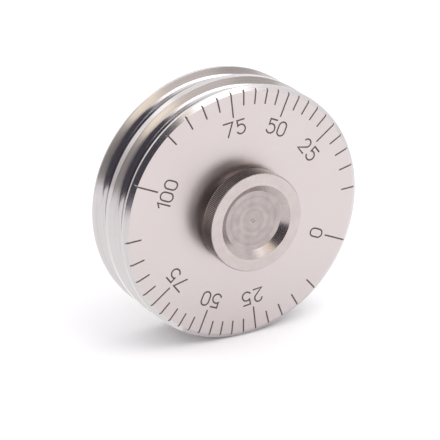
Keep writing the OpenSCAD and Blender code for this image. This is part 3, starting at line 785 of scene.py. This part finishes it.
def make_knob():
    """The clamping nut: knurled band, plain neck, broad flat face and a dished centre."""
    floor_z = KNOB_FRONT - DISH_DEPTH
    floor_top = floor_z + 0.02
    above_bore = KNOB_BORE_END + 0.1
    floor_steps = 12
    shares = [1 - i / floor_steps for i in range(floor_steps)]
    dish = [(DISH_FLOOR_R * t, floor_z - DISH_CROWN * (1 - t * t)) for t in shares
            if DISH_FLOOR_R * t > DIMPLE_R]
    shell = [(KNOB_BORE_R, KNOB_REAR), (KNOB_NECK_R, KNOB_REAR), (KNOB_NECK_R, KNOB_BAND),
             (KNOB_R - KNOB_BEVEL, KNOB_BAND), (KNOB_R, KNOB_BAND + KNOB_BEVEL),
             (KNOB_R, KNOB_FRONT - KNOB_BEVEL), (KNOB_R - KNOB_BEVEL, KNOB_FRONT), (DISH_R, KNOB_FRONT)]
    low = floor_z - DISH_CROWN - DIMPLE_DEPTH
    dimple = [(DIMPLE_R, floor_z - DISH_CROWN), (DIMPLE_R * 0.3, low), (0.0, low)]
    bore = [(0.0, KNOB_BORE_END), (KNOB_BORE_R, KNOB_BORE_END)]
    bm = bmesh.new()
    add_turned(bm, rounded(shell + dish + dimple + bore, 0.1), KNURL_TEETH * 4)
    knob = finish_mesh(bm, "clamp_knob_visual", 30.0)
    run_tree(knob, knurl_tree(), {"Teeth": KNURL_TEETH, "Depth": KNURL_DEPTH * MM,
                                  "Outer radius": KNOB_R * MM, "Material": TURNED})
    paint_order = (TURNED, KNURLED, FACED, BORED)
    for finish in paint_order[1:]:
        knob.data.materials.append(finish)
    for face in knob.data.polygons:
        z = -face.center.y / MM
        r = math.hypot(face.center.x, face.center.z) / MM
        if r > KNOB_R - KNURL_DEPTH and abs(face.normal.y) < 0.5:
            face.material_index = paint_order.index(KNURLED)
        elif DIMPLE_R < r < DISH_FLOOR_R and above_bore < z < floor_top:
            face.material_index = paint_order.index(FACED)
        elif r < DISH_R and z > above_bore:
            face.material_index = paint_order.index(BORED)
    knob.data.shade_smooth()
    knob.data.set_sharp_from_angle(angle=math.radians(30))
    weigh_normals(knob)
    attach(knob, "knob")
    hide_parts("clamp_knob")
    return knob


make_dial()
make_body()
make_knob()

NODE_FINISH = {
    "dial_bush": BRONZE, "thrust_washer": GROUND, "dust_ring": RUBBER, "rear_cover": POLISHED,
    "cover_screws": BLACK_OXIDE, "dowel_pins": GROUND, "shaft_seal": RUBBER, "wave_spring": SPRING,
    "outer_spacer": GROUND, "inner_spacer": GROUND, "front_outer_race": BEARING, "front_inner_race": BEARING,
    "front_balls": BEARING, "front_cage": BRONZE, "rear_outer_race": BEARING, "rear_inner_race": BEARING,
    "rear_balls": BEARING, "rear_cage": BRONZE, "spindle": GROUND, "crank_disc": TURNED, "crank_key": GROUND,
    "crank_screw": BLACK_OXIDE, "crank_pin": GROUND, "crank_roller": BEARING, "roller_clip": SPRING,
}
for node, finish in NODE_FINISH.items():
    paint(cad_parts[node], finish)


# ---------------------------------------------------------------- stage

FLOOR_Z = -WHEEL_R * MM
# the planes that most cards stand in, in millimetres in the spindle frame
TABLE_Y = -39.8
ROOM_Z = 300
WALL_X = -250
BACK_Z = -700
CEILING_Y = 600


def aim(piece, target):
    """Turns a light's beam towards a point."""
    piece.rotation_euler = (Vector(target) - piece.location).to_track_quat("-Z", "Y").to_euler()


def make_floor():
    """A wide, plain, nearly white table."""
    bm = bmesh.new()
    bmesh.ops.create_circle(bm, cap_ends=True, segments=96, radius=4.0)
    mesh = bpy.data.meshes.new("floor")
    bm.to_mesh(mesh)
    bm.free()
    floor = bpy.data.objects.new("floor", mesh)
    floor.location = (0, 0, FLOOR_Z)
    bpy.context.scene.collection.objects.link(floor)
    material, tree = new_material("white_table")
    bsdf = add_node(tree, "ShaderNodeBsdfDiffuse", {"Color": colour("#F4F2F4")})
    finish_material(material, tree, bsdf)
    mesh.materials.append(material)


def make_light(name, location, target, size, power):
    """A rectangular softbox. Places and sizes are metres in the row frame, and power is in watts."""
    data = bpy.data.lights.new(name, "AREA")
    data.shape = "RECTANGLE"
    data.size, data.size_y = size
    data.energy = power
    light = bpy.data.objects.new(name, data)
    light.location = location
    aim(light, target)
    bpy.context.scene.collection.objects.link(light)


def make_card(name, corners, tint, strength):
    """A flat card of even brightness that only reflections see. Its corners are in the spindle frame."""
    mesh = bpy.data.meshes.new(name)
    mesh.from_pydata([place(*corner) for corner in corners], [], [tuple(range(len(corners)))])
    card = bpy.data.objects.new(name, mesh)
    bpy.context.scene.collection.objects.link(card)
    material, tree = new_material(name)
    glow = add_node(tree, "ShaderNodeEmission", {"Color": colour(tint), "Strength": strength})
    finish_material(material, tree, glow)
    mesh.materials.append(material)
    card.visible_camera = False
    card.visible_diffuse = False
    card.visible_shadow = False


def make_world():
    """An even white surround."""
    world = bpy.data.worlds.new("studio")
    world.use_nodes = True
    tree = world.node_tree
    tree.nodes.clear()
    background = add_node(tree, "ShaderNodeBackground", {"Color": colour("#FFFFFF"), "Strength": 1.2})
    add_node(tree, "ShaderNodeOutputWorld", {"Surface": background.outputs[0]})
    bpy.context.scene.world = world


def make_camera():
    """A long lens, a little above the dial and to its left."""
    azimuth, elevation = math.radians(-29.02), math.radians(21.99)
    lens_mm, sensor_mm = 176.17, 36.0
    distance, right_shift, up_shift = 641.1, 7.03, 1.72
    back = Vector((math.sin(azimuth) * math.cos(elevation), -math.cos(azimuth) * math.cos(elevation),
                   math.sin(elevation)))
    right = Vector((math.cos(azimuth), math.sin(azimuth), 0.0))
    up = back.cross(right)
    face = place(0, 0, STACK)
    data = bpy.data.cameras.new("camera")
    data.lens, data.sensor_width = lens_mm, sensor_mm
    data.clip_start, data.clip_end = 0.05, 20.0
    camera = bpy.data.objects.new("camera", data)
    turn = Matrix((right, up, back)).transposed()
    eye = face + (back * distance - right * right_shift - up * up_shift) * MM
    camera.matrix_world = Matrix.Translation(eye) @ turn.to_4x4()
    bpy.context.scene.collection.objects.link(camera)
    bpy.context.scene.camera = camera


make_floor()
make_world()
make_light("key_softbox", (0.18, -0.25, 0.51), (0, 0, 0), (0.6, 0.36), 1.2)
# a dark wall on the left, which the bevel and the grooves show as a hard-edged shade
make_card("dark_wall_left", [(WALL_X, 8, -200), (WALL_X, 8, 25), (WALL_X, -4, 141), (WALL_X, -38, 146),
                             (WALL_X, -38, 420), (WALL_X, 109, 480), (WALL_X, 290, 540), (WALL_X, 720, 600),
                             (WALL_X, 780, 420), (WALL_X, 560, 60), (WALL_X, 430, -200)], "#F0E8FF", 0.1)
# the pale table top on the left and behind, kept bright in what the rim shows
make_card("table_glow_front", [(-250, TABLE_Y, 0), (-20, TABLE_Y, 0), (-20, TABLE_Y, 150),
                               (-250, TABLE_Y, 150)], "#FFFFFF", 1.2)
make_card("table_glow_rear", [(-400, TABLE_Y, -300), (400, TABLE_Y, -300), (400, TABLE_Y, -1),
                              (-400, TABLE_Y, -1)], "#FFFFFF", 1.2)
# the dark wall goes on just in front of the room's left corner, with a curved edge
make_card("dark_wall_front", [(-600, -40, ROOM_Z - 1), (-140, -40, ROOM_Z - 1), (-110, 60, ROOM_Z - 1),
                              (-78, 130, ROOM_Z - 1), (-62, 190, ROOM_Z - 1), (-72, 250, ROOM_Z - 1),
                              (-250, 420, ROOM_Z - 1), (-600, 600, ROOM_Z - 1)], "#F0E8FF", 0.1)
make_card("room_left", [(-140, -40, ROOM_Z), (-62, -40, ROOM_Z), (-62, 130, ROOM_Z), (-78, 130, ROOM_Z),
                        (-110, 60, ROOM_Z)], "#FFF8F2", 0.42)
# two pale panels far behind the wheel
make_card("backdrop_left", [(-700, -40, BACK_Z), (-420, -40, BACK_Z), (-420, 350, BACK_Z),
                            (-700, 350, BACK_Z)], "#FFFAFA", 0.75)
make_card("backdrop_top", [(-230, 440, BACK_Z), (-20, 440, BACK_Z), (-20, 650, BACK_Z),
                           (-230, 650, BACK_Z)], "#FFFFFF", 1.7)
# a bright window in front, and the dimmer walls to its right
make_card("window", [(-62, -40, ROOM_Z), (17, -40, ROOM_Z), (17, 260, ROOM_Z), (-62, 260, ROOM_Z)],
          "#FFF4E0", 1.5)
make_card("room_middle", [(17, 10, ROOM_Z), (180, 10, ROOM_Z), (180, 260, ROOM_Z), (17, 260, ROOM_Z)],
          "#FFF8F2", 0.85)
make_card("room_right", [(180, 10, ROOM_Z), (330, 10, ROOM_Z - 20), (330, 260, ROOM_Z - 20),
                         (180, 260, ROOM_Z)], "#FFF8F2", 0.6)
make_card("ceiling_left", [(-600, CEILING_Y, -300), (-60, CEILING_Y, -300), (-60, CEILING_Y, 100),
                           (-600, CEILING_Y, 100)], "#FFFFFF", 0.45)
make_card("ceiling_right", [(250, CEILING_Y, -750), (900, CEILING_Y, -750), (900, CEILING_Y, 50),
                            (250, CEILING_Y, 50)], "#FFFFFF", 0.6)
make_camera()
bpy.context.scene.view_settings.view_transform = "Standard"
